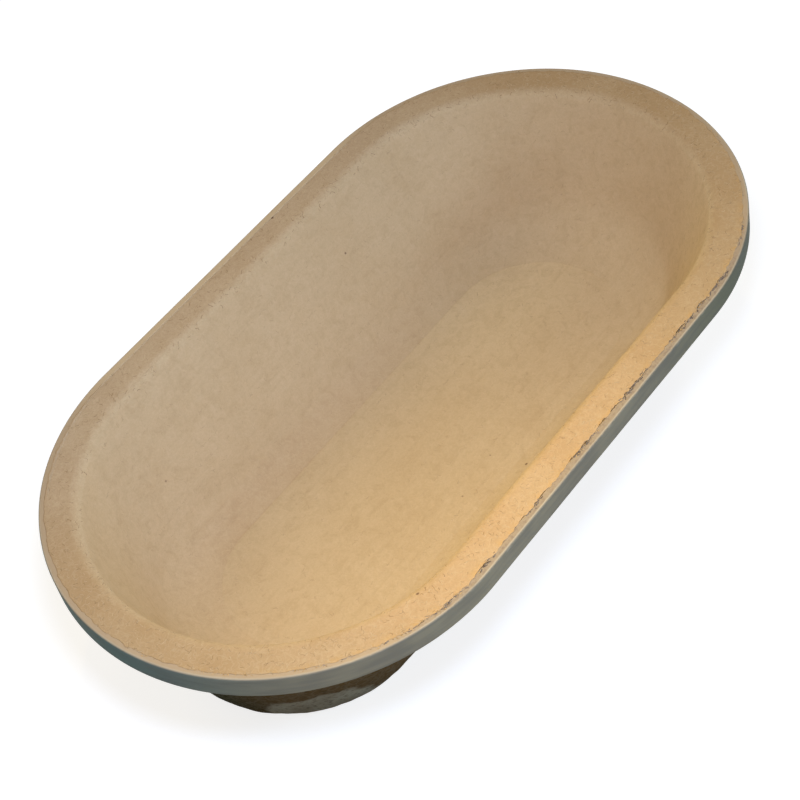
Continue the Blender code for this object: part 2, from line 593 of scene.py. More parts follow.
@dataclass(frozen=True)
class SawnPulpEdge:
    """Finish of the hoop: a strip of dense pulp board, sawn on top and rubbed smooth outside.

    Its face is dull grey and nearly even, tinted slate teal by painted cool shade, browned along the -Y side
    by painted warm light and dark olive towards its +X end in painted shade. Its sawn tan top is duller round
    the ends and greyed along -Y, and the outer arris carries a cream line of painted highlight.
    """

    # The face's grey, tinted teal by painted cool shade, browned along -Y by painted warm light and made
    # olive towards +X by painted shade
    grey_face_in_painted_shade: str = "#627A75"
    painted_warm_face: Coat = Coat("#928A71", 5 * MM, -75 * MM)
    painted_olive_shade: Coat = Coat("#60644D", 0 * MM, 110 * MM)
    shading: Coat = Coat("#5F5D57", 0.35, 0.12, 0.4)
    fresh: str = "#C5A980"
    ageing: Coat = Coat("#B29773", 60 * MM, 100 * MM)
    greyed: str = "#9B866C"
    greyed_from: float = -76 * MM
    greyed_to: float = -92 * MM
    poring: Coat = Coat("#84705C", 0.56, 0.34, 0.75)
    # Cream line of painted highlight along the outer arris, broken into patches
    arris: str = "#B8A687"
    rubbed_from: float = 0.35
    rubbed_to: float = 0.6
    least_highlight: float = 0.4
    streak_length: float = 22 * MM
    streak_height: float = 2.4 * MM
    cloud_size: float = 24 * MM
    saw_size: float = 1.4 * MM
    # Real grit is too fine to show, so this is as coarse as it needs to be
    grit_size: float = 0.5 * MM
    relief: float = 0.05 * MM
    relief_strength: float = 0.5
    streak_rise: float = 0.5
    roughness: float = 0.78
    gloss: float = 0.25

    def material(self) -> bpy.types.Material:
        """Build the finish's material.

        Returns:
            A material that reads Object coordinates and the hoop's "top" and "arris" attributes.
        """
        material = plain_material("sawn_pulp_edge", self.roughness, self.gloss)
        tree = material.node_tree
        shader = tree.nodes["Principled BSDF"]
        where = add_node(tree, "ShaderNodeTexCoord").outputs["Object"]
        along = 1 / self.streak_length
        lengthways = add_node(tree, "ShaderNodeMapping", {"vector_type": "POINT"}, {
            "Vector": where, "Scale": (along, along, 1 / self.streak_height)})
        streaks = add_node(tree, "ShaderNodeTexNoise", None, {
            "Vector": lengthways.outputs["Vector"], "Scale": 1.0, "Detail": 2.0,
            "Roughness": 0.5}).outputs["Fac"]
        clouds = add_node(tree, "ShaderNodeTexNoise", None, {
            "Vector": where, "Scale": 1 / self.cloud_size, "Detail": 2.0}).outputs["Fac"]
        sawing = add_node(tree, "ShaderNodeTexNoise", None, {
            "Vector": where, "Scale": 1 / self.saw_size, "Detail": 3.0, "Roughness": 0.6}).outputs["Fac"]
        grit = add_node(tree, "ShaderNodeTexNoise", None, {
            "Vector": where, "Scale": 1 / self.grit_size, "Detail": 2.0, "Roughness": 0.6}).outputs["Fac"]
        top, arris = (
            add_node(tree, "ShaderNodeAttribute", {"attribute_name": name}).outputs["Fac"]
            for name in ("top", "arris"))
        axes = add_node(tree, "ShaderNodeSeparateXYZ", None, {"Vector": where})

        # Face: grey in painted cool shade, with painted warm light along -Y and painted olive shade towards
        # +X
        face = self.painted_warm_face.over(tree, linear(self.grey_face_in_painted_shade), axes.outputs["Y"])
        face = self.painted_olive_shade.over(tree, face, axes.outputs["X"])
        streaking = add_node(tree, "ShaderNodeMath", {"operation": "MULTIPLY"}, {0: streaks, 1: clouds})
        face = self.shading.over(tree, face, streaking.outputs["Value"])
        from_middle = add_node(tree, "ShaderNodeMath", {"operation": "ABSOLUTE"}, {0: axes.outputs["X"]})
        sawn = self.ageing.over(tree, linear(self.fresh), from_middle.outputs["Value"])
        handling = add_node(tree, "ShaderNodeMapRange", {"interpolation_type": "SMOOTHSTEP"}, {
            "Value": axes.outputs["Y"], "From Min": self.greyed_from, "From Max": self.greyed_to})
        sawn = add_node(tree, "ShaderNodeMix", {"data_type": "RGBA"}, {
            0: handling.outputs["Result"], 6: sawn, 7: linear(self.greyed)}).outputs[2]
        sawn = self.poring.over(tree, sawn, sawing, handling.outputs["Result"])
        sided = add_node(tree, "ShaderNodeMix", {"data_type": "RGBA"}, {0: top, 6: face, 7: sawn})
        # Painted highlight along the arris, patchy with the clouds
        patchy_painted_light = add_node(tree, "ShaderNodeMapRange", None, {
            "Value": clouds, "From Min": self.rubbed_from, "From Max": self.rubbed_to,
            "To Min": self.least_highlight})
        worn = add_node(tree, "ShaderNodeMath", {"operation": "MULTIPLY"}, {
            0: arris, 1: patchy_painted_light.outputs["Result"]})
        finished = add_node(tree, "ShaderNodeMix", {"data_type": "RGBA"}, {
            0: worn.outputs["Value"], 6: sided.outputs[2], 7: linear(self.arris)})
        tree.links.new(finished.outputs[2], shader.inputs["Base Color"])
        height = add_node(tree, "ShaderNodeMath", {"operation": "MULTIPLY_ADD"}, {
            0: streaks, 1: self.streak_rise, 2: grit})
        bump = add_node(tree, "ShaderNodeBump", None, {
            "Strength": self.relief_strength, "Distance": self.relief, "Height": height.outputs["Value"]})
        tree.links.new(bump.outputs["Normal"], shader.inputs["Normal"])
        return material


@dataclass(frozen=True)
class MouldedPulp:
    """Finish of the shell: dark brown wood pulp as it left the mould, unsanded.

    It is dead matt and mottled where the pulp clumped, with coarse short fibres. Painted light turns its foot
    grey below the rim's shade, highest at the -X -Y corner, and painted shade darkens the middle of its -X
    end.
    """

    brown: str = "#634F30"
    # Painted shade darkening the middle of the -X end
    painted_tip_shade: Coat = Coat("#2A2A16", 48 * MM, 12 * MM)
    painted_shade_at: tuple[float, float, float] = (-138 * MM, 5 * MM, 14 * MM)
    # Painted light: the foot turns grey below the rim's shade, most in a patch at the -X -Y corner
    patchy_painted_light: Coat = Coat(GREY_FIBRE_AND_PAINTED_LIGHT, 9.3 * MM, 5.2 * MM, 1.8)
    lit_wander: float = 15 * MM
    foot_height: float = 3 * MM
    lit_patch_at: tuple[float, float, float] = (-116 * MM, -38 * MM, 2 * MM)
    lit_patch_radius: float = 21.5 * MM
    poring: Coat = Coat("#443820", 0.5, 0.3, 0.6)
    felting: Coat = Coat(GREY_FIBRE_AND_PAINTED_LIGHT, 0.7, 1.0, 0.12)
    clump_size: float = 14 * MM
    pore_size: float = 2.0 * MM
    fibre_spacing: float = 3.0 * MM
    relief: float = 0.25 * MM
    relief_strength: float = 0.8
    fibre_rise: float = 0.4
    roughness: float = 0.95
    gloss: float = 0.03

    def material(self) -> bpy.types.Material:
        """Build the finish's material.

        Returns:
            A material that reads Object coordinates.
        """
        material = plain_material("moulded_pulp", self.roughness, self.gloss)
        tree = material.node_tree
        shader = tree.nodes["Principled BSDF"]
        where = add_node(tree, "ShaderNodeTexCoord").outputs["Object"]
        clumps = add_node(tree, "ShaderNodeTexNoise", None, {
            "Vector": where, "Scale": 1 / self.clump_size, "Detail": 4.0, "Roughness": 0.6}).outputs["Fac"]
        pores = add_node(tree, "ShaderNodeTexNoise", None, {
            "Vector": where, "Scale": 1 / self.pore_size, "Detail": 4.0, "Roughness": 0.65}).outputs["Fac"]
        fibres = add_node(tree, "ShaderNodeTexNoise", {"noise_type": "RIDGED_MULTIFRACTAL"}, {
            "Vector": where, "Scale": 1 / self.fibre_spacing, "Detail": 2.0, "Offset": 0.9, "Gain": 2.0,
            "Distortion": 0.8}).outputs["Fac"]
        axes = add_node(tree, "ShaderNodeSeparateXYZ", None, {"Vector": where})
        # Where the painted light on the foot and the painted shade at the -X end fall
        from_patch, from_painted_shade = (
            add_node(tree, "ShaderNodeVectorMath", {"operation": "DISTANCE"}, {
                0: where, 1: middle}).outputs["Value"]
            for middle in (self.lit_patch_at, self.painted_shade_at))
        off_patch, off_foot = (
            add_node(tree, "ShaderNodeMath", {"operation": "SUBTRACT"}, {
                0: reach, 1: limit}).outputs["Value"]
            for reach, limit in ((from_patch, self.lit_patch_radius), (axes.outputs["Z"], self.foot_height)))
        off_both = add_node(tree, "ShaderNodeMath", {"operation": "MINIMUM"}, {0: off_patch, 1: off_foot})
        uneven = add_node(tree, "ShaderNodeMath", {"operation": "MULTIPLY_ADD"}, {
            0: clumps, 1: self.lit_wander, 2: off_both.outputs["Value"]})

        colour = linear(self.brown)
        for coat, pattern, thinned in (
                (self.painted_tip_shade, from_painted_shade, 1.0),
                (self.patchy_painted_light, uneven.outputs["Value"], clumps),
                (self.poring, pores, 1.0),
                (self.felting, fibres, 1.0)):
            colour = coat.over(tree, colour, pattern, thinned)
        tree.links.new(colour, shader.inputs["Base Color"])
        height = add_node(tree, "ShaderNodeMath", {"operation": "MULTIPLY_ADD"}, {
            0: fibres, 1: self.fibre_rise, 2: pores})
        bump = add_node(tree, "ShaderNodeBump", None, {
            "Strength": self.relief_strength, "Distance": self.relief, "Height": height.outputs["Value"]})
        tree.links.new(bump.outputs["Normal"], shader.inputs["Normal"])
        return material


@dataclass(frozen=True)
class FibreLining:
    """The tan layer inside the basket. Its edge laps raggedly over the hoop and gapes along the -Y side."""

    form: BasketForm
    finish: PressedWoodFibre
    end_steps: int = 430
    run_steps: int = 115
    torn_reach: float = 3.0 * MM
    torn_steps: int = 11
    flange_steps: int = 5
    bend_steps: int = 8
    wall_steps: int = 10
    hollow_steps: int = 9
    crease_width: float = 0.8 * MM
    floor_steps: int = 4
    back_steps: int = 3
    edge_steps: int = 3
    least_lap: float = 0.5 * MM
    end_lap: float = 0.6 * MM
    lapped_from: float = 60 * MM
    lapped_to: float = 100 * MM
    rubbed_from: float = 0.86
    lost_lap: float = 0.15 * MM
    least_ragged: float = 0.2
    wander: float = 1.1 * MM
    wander_size: float = 5 * MM
    ragged: float = 0.8 * MM
    ragged_size: float = 1.7 * MM
    gap_depth: float = 0.9 * MM
    flap: float = 0.09 * MM
    flap_rubbed: float = 1.7
    flap_lapped: float = 1.15
    flap_frayed: float = 0.8
    flap_sunk: float = 0.7
    flap_tucked: float = 0.3
    flap_shift: tuple[float, float, float] = (3.0, 1.0, 0.0)
    patch_size: float = 16 * MM
    patch_shift: tuple[float, float, float] = (7.0, 3.0, 1.0)
    patch_from: float = -0.25
    patch_to: float = 0.35
    # Reach of the painted shade at the lip's ends, which leans towards -Y
    end_from: float = 80 * MM
    end_to: float = 155 * MM
    corner_pull: float = 0.95
    corner_slack: float = 0.3
    # Painted shade in the hollow: how it fades towards -Y and towards the -X end
    dusk_fade: float = 42 * MM
    dusk_end: float = 140 * MM
    # Painted light on the floor's +X end
    painted_light_from: float = 0 * MM
    painted_light_to: float = 85 * MM
    painted_light_half: float = 22 * MM
    # Painted light on the wall at the +X -Y corner
    wall_light_from: float = 68 * MM
    wall_light_fade: float = 29 * MM
    wall_light_most: float = 0.8
    swell: float = 0.25 * MM
    swell_size: float = 28 * MM

    def section(self, flank: Flank) -> tuple[SectionWire, int, int]:
        """Draw the lining's section from under its floor, out to the hoop and back over its face.

        Args:
            flank: Where the section is cut.

        Returns:
            The wire, and the ring numbers of the face's outer edge and of the floor's outline.
        """
        form = self.form
        back = form.lining_thickness
        slope = form.slope(flank)
        bend = form.bend_centre(flank)
        hollow = form.hollow_centre(flank)
        wire = SectionWire(form, form.rim_radius, form.floor_height - back)
        wire.run(form.hollow_end(back, flank))
        wire.turn(hollow, -form.hollow_sweep(back, flank), self.back_steps)
        wire.run(form.bend_end(back, flank))
        wire.turn(bend, slope, self.back_steps)
        wire.run(Vector((form.rim_edge, form.height - back)))
        edge = wire.run(Vector((form.rim_edge, form.height)), self.edge_steps)
        wire.run(Vector((form.rim_edge + self.torn_reach, form.height)), self.torn_steps)
        wire.run(Vector((bend.x, form.height)), self.flange_steps)
        wire.turn(bend, -slope, self.bend_steps)
        wire.run(form.hollow_start(0.0, flank), self.wall_steps)
        outline = wire.turn(hollow, form.hollow_sweep(0.0, flank), self.hollow_steps)
        floor = form.hollow_end(0.0, flank)
        wire.run(floor + Vector((self.crease_width, 0.0)))
        wire.run(Vector((form.rim_radius, form.floor_height)), self.floor_steps)
        return wire, edge, outline

    def rubbed(self, place: Vector) -> float:
        """How much the lining's edge is rubbed away at a place on the rim, from 0 to 1: on the -Y side."""
        return ease(self.rubbed_from, 1.0, -place.y / self.form.rim_radius)

    def lapped(self, place: Vector) -> float:
        """How far the lining's edge is turned out over the hoop, from 0 to 1: at the rim's round ends."""
        return ease(self.lapped_from, self.lapped_to, abs(place.x))

    def worn(self, place: Vector) -> float:
        """How worn the patch of edge at a place on the rim is, from 0 to 1."""
        patch = noise.noise(place / self.patch_size + Vector(self.patch_shift))
        return ease(self.patch_from, self.patch_to, patch)

    def lap(self, place: Vector) -> float:
        """Find how far the lining's edge laps outwards over the hoop.

        Args:
            place: A place on the rim.

        Returns:
            How far it stands out past its place in the frame. Where that is too little, a gap shows.
        """
        drift = noise.noise(place / self.wander_size) * self.wander
        fray = noise.noise(place / self.ragged_size) * self.ragged
        rubbed = self.rubbed(place)
        lapped = self.lapped(place)
        least = self.least_lap + lapped * self.end_lap - rubbed * self.lost_lap
        ragged = self.least_ragged + (1 - self.least_ragged) * max(rubbed, lapped / 2)
        return least + ragged * (drift + fray)

    def lift(self, place: Vector) -> float:
        """Find how far the lining's edge stands over the hoop's top.

        Args:
            place: A place on the rim.

        Returns:
            The lift, which is negative where the edge dips.
        """
        fray = noise.noise(place / self.ragged_size + Vector(self.flap_shift))
        raised = max(self.flap_rubbed * self.rubbed(place), self.flap_lapped * self.lapped(place))
        return self.flap * (raised - self.flap_sunk + self.flap_frayed * fray)

    def end_shade_share(self, place: Vector) -> float:
        """Find how far a place on the lip takes the painted shade of its ends, which leans towards -Y.

        Args:
            place: A place on the lip.

        Returns:
            A share from 0 to 1.
        """
        if place.x > 0.0:
            lean = max(0.0, -place.y) * self.corner_pull
        else:
            lean = min(0.0, -place.y) * self.corner_slack
        return ease(self.end_from, self.end_to, abs(place.x) + lean)

    def painted_wall_light(self, place: Vector) -> float:
        """How much painted light brightens the wall at a place, from 0 to 1: round the +X -Y corner."""
        along = ease(self.wall_light_from, self.wall_light_from + self.wall_light_fade, place.x)
        return self.wall_light_most * along * ease(-self.wall_light_fade, -2 * self.wall_light_fade, place.y)

    def build(self) -> bmesh.types.BMesh:
        """Model the lining.

        Returns:
            The mesh, with the attributes "lip", on the flange, "end", painted shade towards its ends, "seam",
            near its edge, "hollow", painted shade round the floor, and "floured", painted light on the floor
            and a wall.
        """
        form = self.form
        side, edge, outline = self.section(Flank.SIDE)
        end, _, _ = self.section(Flank.END)
        bm = carry_round(side, end, self.end_steps, self.run_steps)
        lip = bm.verts.layers.float.new("lip")
        pressed = bm.verts.layers.float.new("end")
        seam = bm.verts.layers.float.new("seam")
        hollow = bm.verts.layers.float.new("hollow")
        painted_lit = bm.verts.layers.float.new("painted_lit")
        ring = bm.verts.layers.int["ring"]
        bend = self.torn_steps + self.flange_steps
        for vert in bm.verts:
            row = vert[ring] - edge
            if row < -2:
                continue
            place = vert.co.copy()
            inward = form.inward(place)
            vert[lip] = 1 - ease(bend, bend + self.bend_steps, row)
            # Painted shade of the lip's ends
            vert[pressed] = self.end_shade_share(place)
            far = ease(self.painted_light_from, self.painted_light_to, place.x)
            clear = ease(-self.dusk_fade, -self.dusk_fade / 3, place.y)
            # Painted light on the floor's +X end
            if vert[ring] > outline:
                vert[painted_lit] = far * ease(-self.painted_light_half, self.painted_light_half, place.y)
            else:
                # Painted shade in the hollow, off the -Y side and away from the +X end
                dusk = ease(outline - self.hollow_steps, outline - self.hollow_steps / 2, vert[ring])
                vert[hollow] = clear * dusk * (1 - far) * ease(-self.dusk_end, -self.dusk_end / 2, place.x)
                # Painted light on the wall at its +X -Y corner
                wall = (1 - vert[lip]) * ease(outline, outline - self.hollow_steps, vert[ring])
                vert[painted_lit] = wall * self.painted_wall_light(place)
            near = min(1.0, max(0.0, 1 - row / self.torn_steps))
            vert.co += vert.normal * self.swell * noise.noise(place / self.swell_size) * (1 - near)
            if near == 0.0:
                continue
            pitch = self.torn_reach / self.torn_steps
            rim = place - inward * max(0, row) * pitch
            rim.z = 0.0
            lap = self.lap(rim)
            vert[seam] = near ** 2 * max(0.0, -rim.y / form.rim_radius)
            if row == -2:
                vert.co.z = form.height - self.gap_depth * ease(form.glue_gap, 0.0, lap)
                continue
            vert.co -= inward * near * lap
            if row >= 0:
                vert.co.z += self.lift(rim) * near ** 2
            else:
                vert.co.z = form.height + min(0.0, self.lift(rim)) - self.flap_tucked * self.flap
        for line in bm.edges:
            line.smooth = any(vert[ring] != outline for vert in line.verts)
        bm.normal_update()
        return bm

    def dress(self) -> bpy.types.Object:
        """Build the lining and give it its finish."""
        piece = settle(self.build(), "fibre_lining_felted", self.finish.material())
        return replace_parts(piece, "fibre_lining")


@dataclass(frozen=True)
class LooseFibres:
    """Single fibres pressed flat on the lining, thickest on the lip, where hands brush it."""

    form: BasketForm
    finish: LooseScrap
    count: int = 6000
    patterns: int = 12
    # Real fibres are too thin to show, so these are as thick as they need to be
    thickness: float = 0.26 * MM
    flatness: float = 0.3
    shortest: float = 0.8 * MM
    longest: float = 2.4 * MM
    bends: Sequence[tuple[float, float]] = ((0.6, 1.9), (-1.6, 1.2))
    steps: int = 3
    least_level: float = 0.1
    well_share: float = 0.3
    lip_tones: tuple[float, float] = (0.0, 0.8)
    well_tones: tuple[float, float] = (0.45, 0.8)
    seed: int = 23

    def strand(self, dice: random.Random) -> bpy.types.Mesh:
        """Model one fibre lying in the XY plane as a flattened three-sided tube with two bends.

        Args:
            dice: The seeded source of its length and bends.

        Returns:
            A mesh centred on the origin.
        """
        bm = bmesh.new()
        drawn = bmesh.ops.create_circle(bm, segments=3, radius=self.thickness / 2,
                                        matrix=Matrix.Rotation(math.pi / 2, 4, "X"))["verts"]
        tip = drawn + bm.edges[:]
        heading = 0.0
        place = Vector((0.0, 0.0, 0.0))
        for bend in [dice.uniform(*limits) for limits in self.bends]:
            length = dice.uniform(self.shortest, self.longest) / 2
            radius = length / bend
            centre = place + Vector((-math.cos(heading), -math.sin(heading), 0.0)) * radius
            tip = bmesh.ops.spin(bm, geom=tip, cent=centre, axis=(0, 0, 1), dvec=(0, 0, 0), angle=bend,
                                 steps=self.steps, use_duplicate=False)["geom_last"]
            place = centre + (place - centre) @ Matrix.Rotation(-bend, 3, "Z")
            heading += bend
        bmesh.ops.holes_fill(bm, edges=bm.edges[:])
        bmesh.ops.recalc_face_normals(bm, faces=bm.faces[:])
        middle = sum((vert.co for vert in bm.verts), Vector()) / len(bm.verts)
        bmesh.ops.translate(bm, verts=bm.verts[:], vec=-middle)
        bmesh.ops.scale(bm, verts=bm.verts[:], vec=(1.0, 1.0, self.flatness))
        mesh = bpy.data.meshes.new("strand")
        bm.to_mesh(mesh)
        bm.free()
        return mesh

    def build(self, lining: bpy.types.Mesh) -> bmesh.types.BMesh:
        """Scatter the fibres over the lining's face.

        Args:
            lining: The finished lining, whose faces carry them.

        Returns:
            All the fibres in one mesh, with the attribute "tone".
        """
        dice = random.Random(self.seed)
        strands = [self.strand(dice) for _ in range(self.patterns)]
        low = self.form.floor_height - self.thickness
        lip = self.form.height - self.form.bend_radius / 2
        half_width = self.form.rim_radius - self.form.rim_edge
        spots = [face for face in lining.polygons if face.normal.z > self.least_level
                 and face.center.z > low and abs(face.center.y) < half_width]
        # Corners are numbered alike each run and faces aren't, so the faces go in order of their corners
        spots.sort(key=lambda face: sorted(face.vertices))
        weights = [face.area * (1.0 if face.center.z > lip else self.well_share) for face in spots]
        bm = bmesh.new()
        shades = []
        for face in dice.choices(spots, weights, k=self.count):
            turn = face.normal.to_track_quat("Z", "Y").to_matrix().to_4x4()
            spin = Matrix.Rotation(dice.uniform(0, math.tau), 4, "Z")
            strand = dice.choice(strands).copy()
            strand.transform(Matrix.Translation(face.center) @ turn @ spin)
            bm.from_mesh(strand)
            tones = self.lip_tones if face.center.z > lip else self.well_tones
            shades += [dice.uniform(*tones)] * len(strand.vertices)
            bpy.data.meshes.remove(strand)
        for strand in strands:
            bpy.data.meshes.remove(strand)
        tone = bm.verts.layers.float.new("tone")
        for vert, shade in zip(bm.verts, shades):
            vert[tone] = shade
        return bm

    def dress(self, lining: bpy.types.Object) -> bpy.types.Object:
        """Build the fibres and give them their finish."""
        return settle(self.build(lining.data), "loose_fibres", self.finish.material())


@dataclass(frozen=True)
class SeamCrumbs:
    """Crumbs of torn lining and grey board that lie on the hoop along the lining's ragged edge."""

    name: str
    lining: FibreLining
    finish: LooseScrap
    count: int
    shortest: float
    longest: float
    gathered: float
    seed: int
    width: float = 0.45 * MM
    height: float = 0.16 * MM
    spread: float = 0.4 * MM
    skew: float = 0.35
    narrowest: float = 0.5
    flattest: float = 0.6

    def build(self) -> bmesh.types.BMesh:
        """Scatter the crumbs round the rim, thickest where it was handled.

        Returns:
            All the crumbs in one mesh, with the attribute "tone".
        """
        form = self.lining.form
        dice = random.Random(self.seed)
        bm = bmesh.new()
        tone = bm.verts.layers.float.new("tone")
        laid = 0
        while laid < self.count:
            place = self.on_rim(dice.random())
            handled = max(0.0, -place.y / form.rim_radius) ** self.gathered
            if dice.random() > self.lining.worn(place) * handled:
                continue
            inward = form.inward(place)
            lapped = form.rim_edge - self.lining.lap(place) - abs(dice.gauss(0.0, self.spread))
            spot = place + inward * max(lapped, self.width)
            spot.z = form.height
            along = math.atan2(inward.x, -inward.y) + dice.gauss(0.0, self.skew)
            shape = Vector((dice.uniform(self.shortest, self.longest),
                            self.width * dice.uniform(self.narrowest, 1.0),
                            self.height * dice.uniform(self.flattest, 1.0)))
            bit = (Matrix.Translation(spot) @ Matrix.Rotation(along, 4, "Z")
                   @ Matrix.Diagonal(shape.to_4d()))
            drawn = bmesh.ops.create_icosphere(bm, subdivisions=1, radius=0.5, matrix=bit)["verts"]
            shade = 1.0 - dice.random() * handled
            for vert in drawn:
                vert[tone] = shade
            laid += 1
        return bm

    def on_rim(self, share: float) -> Vector:
        """Find a place on the rim's outer edge.

        Args:
            share: How far round the rim it is, from 0 to 1.

        Returns:
            The place, level with the origin.
        """
        form = self.lining.form
        arc = math.pi * form.rim_radius
        halfway = arc + 2 * form.end_centre
        along = share * 2 * halfway
        half = 1 if along < halfway else -1
        along %= halfway
        if along < arc:
            turn = along / form.rim_radius - math.pi / 2
            place = Vector((form.end_centre + form.rim_radius * math.cos(turn),
                            form.rim_radius * math.sin(turn), 0.0))
        else:
            place = Vector((form.end_centre - (along - arc), form.rim_radius, 0.0))
        return place * half

    def dress(self) -> bpy.types.Object:
        """Build the crumbs and give them their finish."""
        return settle(self.build(), self.name, self.finish.material())


@dataclass(frozen=True)
class RimHoop:
    """The strip on edge that closes the rim, with a softened outer arris and a nicked top."""

    form: BasketForm
    finish: SawnPulpEdge
    thickness: float = 3.0 * MM
    arris: float = 0.7 * MM
    end_steps: int = 330
    run_steps: int = 80
    arris_steps: int = 5
    face_steps: int = 8
    top_steps: int = 8
    sunk: float = 0.03 * MM
    nick: float = 0.20 * MM
    nick_size: float = 2.2 * MM
    nick_from: float = 0.15
    nick_to: float = 0.6
    rubbed_from: float = 0.3
    rubbed_to: float = 0.9
    arris_rows: float = 2.0
    wave: float = 0.10 * MM
    wave_size: float = 30 * MM

    def section(self) -> tuple[SectionWire, int, int]:
        """Draw the hoop's section: out under it, up its face and back over its top.

        Returns:
            The wire, and the ring numbers where its face and its top end.
        """
        form = self.form
        bottom = form.hoop_bottom
        wire = SectionWire(form, self.thickness, bottom)
        wire.run(Vector((self.arris, bottom)), 2)
        wire.turn(Vector((self.arris, bottom + self.arris)), -math.pi / 2, self.arris_steps)
        face_end = wire.run(Vector((0.0, form.height - self.arris)), self.face_steps)
        wire.turn(Vector((self.arris, form.height - self.arris)), -math.pi / 2, self.arris_steps)
        top_end = wire.run(Vector((self.thickness, form.height)), self.top_steps)
        wire.run(Vector((self.thickness, (form.height + bottom) / 2)), 3)
        wire.close()
        return wire, face_end, top_end

    def build(self) -> bmesh.types.BMesh:
        """Model the hoop.

        Returns:
            The mesh, with the attributes "top" and "arris".
        """
        side, face_end, top_end = self.section()
        end, _, _ = self.section()
        bm = carry_round(side, end, self.end_steps, self.run_steps)
        top = bm.verts.layers.float.new("top")
        arris = bm.verts.layers.float.new("arris")
        ring = bm.verts.layers.int["ring"]
        top_start = face_end + self.arris_steps
        for vert in bm.verts:
            row = vert[ring]
            place = vert.co.copy()
            vert.co += self.form.inward(place) * self.wave * noise.noise(place / self.wave_size)
            if face_end < row <= top_end:
                nicks = ease(self.nick_from, self.nick_to, noise.noise(place / self.nick_size))
                rubbed = ease(self.rubbed_from, self.rubbed_to, -place.y / self.form.rim_radius)
                vert.co.z -= self.sunk + self.nick * nicks * rubbed
                vert[top] = ease(face_end, top_start, row)
                # Where the cream line of painted highlight lies along the outer arris
                vert[arris] = max(0.0, 1 - abs(row - top_start + 1) / self.arris_rows)
        bm.normal_update()
        return bm

    def dress(self) -> bpy.types.Object:
        """Build the hoop and give it its finish."""
        piece = settle(self.build(), "rim_hoop_strip", self.finish.material())
        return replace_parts(piece, "rim_hoop")


@dataclass(frozen=True)
class OuterShell:
    """The moulded body that carries the lining: flat base, leaning walls and level flange."""

    form: BasketForm
    finish: MouldedPulp
    end_steps: int = 200
    run_steps: int = 50
    base_steps: int = 8
    round_steps: int = 6
    wall_steps: int = 16
    under_steps: int = 6
    flange_steps: int = 8
    hidden_steps: int = 4
    unevenness: float = 0.35 * MM
    clump_size: float = 13 * MM
    pitting: float = 0.10 * MM
    pit_size: float = 3 * MM

    def section(self, flank: Flank) -> tuple[SectionWire, int, int]:
        """Draw the shell's section from under its base, up the outside, over the rim's edge and down inside.

        Args:
            flank: Where the section is cut.

        Returns:
            The wire, and the ring numbers where the outside begins and ends.
        """
        form = self.form
        back, face = form.shell_back, form.shell_face
        slope = form.slope(flank)
        half = math.tan(slope / 2)
        under = form.height - back
        base = Vector((form.foot(flank) + form.base_radius * half, form.base_radius))
        armpit = Vector((form.wall_inset(under, back, flank), under))
        armpit -= Vector((form.under_radius * half, form.under_radius))
        wire = SectionWire(form, form.rim_radius, 0.0)
        start = wire.run(Vector((base.x, 0.0)), self.base_steps)
        wire.turn(base, -slope, self.round_steps)
        wire.run(armpit + spoke(slope) * form.under_radius, self.wall_steps)
        wire.turn(armpit, slope, self.under_steps)
        stop = wire.run(Vector((form.rim_edge, under)), self.flange_steps)
        wire.run(Vector((form.rim_edge, form.height - face)), 2)
        wire.run(Vector((form.bend_centre(flank).x, form.height - face)))
        wire.turn(form.bend_centre(flank), -slope, self.hidden_steps)
        wire.run(form.hollow_start(face, flank))
        wire.turn(form.hollow_centre(flank), form.hollow_sweep(face, flank), self.hidden_steps)
        wire.run(Vector((form.rim_radius, form.shell_base)))
        return wire, start, stop

    def build(self) -> bmesh.types.BMesh:
        """Model the shell, with the uneven outside that the mould left.

        Returns:
            The mesh.
        """
        side, start, stop = self.section(Flank.SIDE)
        end, _, _ = self.section(Flank.END)
        bm = carry_round(side, end, self.end_steps, self.run_steps)
        ring = bm.verts.layers.int["ring"]
        for vert in bm.verts:
            if start < vert[ring] < stop:
                place = vert.co.copy()
                lump = noise.fractal(place / self.clump_size, 1.0, 2.0, 3)
                pit = noise.noise(place / self.pit_size)
                vert.co += vert.normal * (self.unevenness * lump + self.pitting * pit)
        bm.normal_update()
        return bm

    def dress(self) -> bpy.types.Object:
        """Build the shell and give it its finish."""
        piece = settle(self.build(), "outer_shell_moulded", self.finish.material())
        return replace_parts(piece, "outer_shell")


@dataclass(frozen=True)
class Lamp:
    """A soft lamp. Its level is what a white card facing it would render as.

    A lamp with a pool is a spotlight that fades out evenly towards the pool's radius. One without is a round
    panel.
    """

    name: str
    bearing: float
    elevation: float
    distance: float
    size: float
    level: float
    colour: str
    aim: tuple[float, float] = (0.0, 0.0)
    pool: float = 0.0

    def light(self) -> bpy.types.Light:
        """Make the lamp's light.

        Returns:
            A light of the lamp's kind, colour and power.
        """
        power = self.level * (math.pi * self.distance) ** 2
        if self.pool > 0.0:
            light = bpy.data.lights.new(self.name, "SPOT")
            light.spot_size = 2 * math.atan(self.pool / self.distance)
            light.spot_blend = 1.0
            light.shadow_soft_size = self.size / 2
            light.energy = SPOT_TO_PANEL * power
        else:
            light = bpy.data.lights.new(self.name, "AREA")
            light.shape = "DISK"
            light.size = self.size
            light.energy = power
        light.color = linear(self.colour)[:3]
        return light

    def hang(self, target: Vector) -> None:
        """Hang the lamp so that it faces its aim.

        Args:
            target: The place that the aim is measured from.
        """
        lamp = bpy.data.objects.new(self.name, self.light())
        bearing, elevation = math.radians(self.bearing), math.radians(self.elevation)
        level = math.cos(elevation)
        away = Vector((math.cos(bearing) * level, math.sin(bearing) * level, math.sin(elevation)))
        lamp.location = target + Vector((*self.aim, 0.0)) + away * self.distance
        lamp.rotation_euler = away.to_track_quat("Z", "Y").to_euler()
        bpy.context.scene.collection.objects.link(lamp)


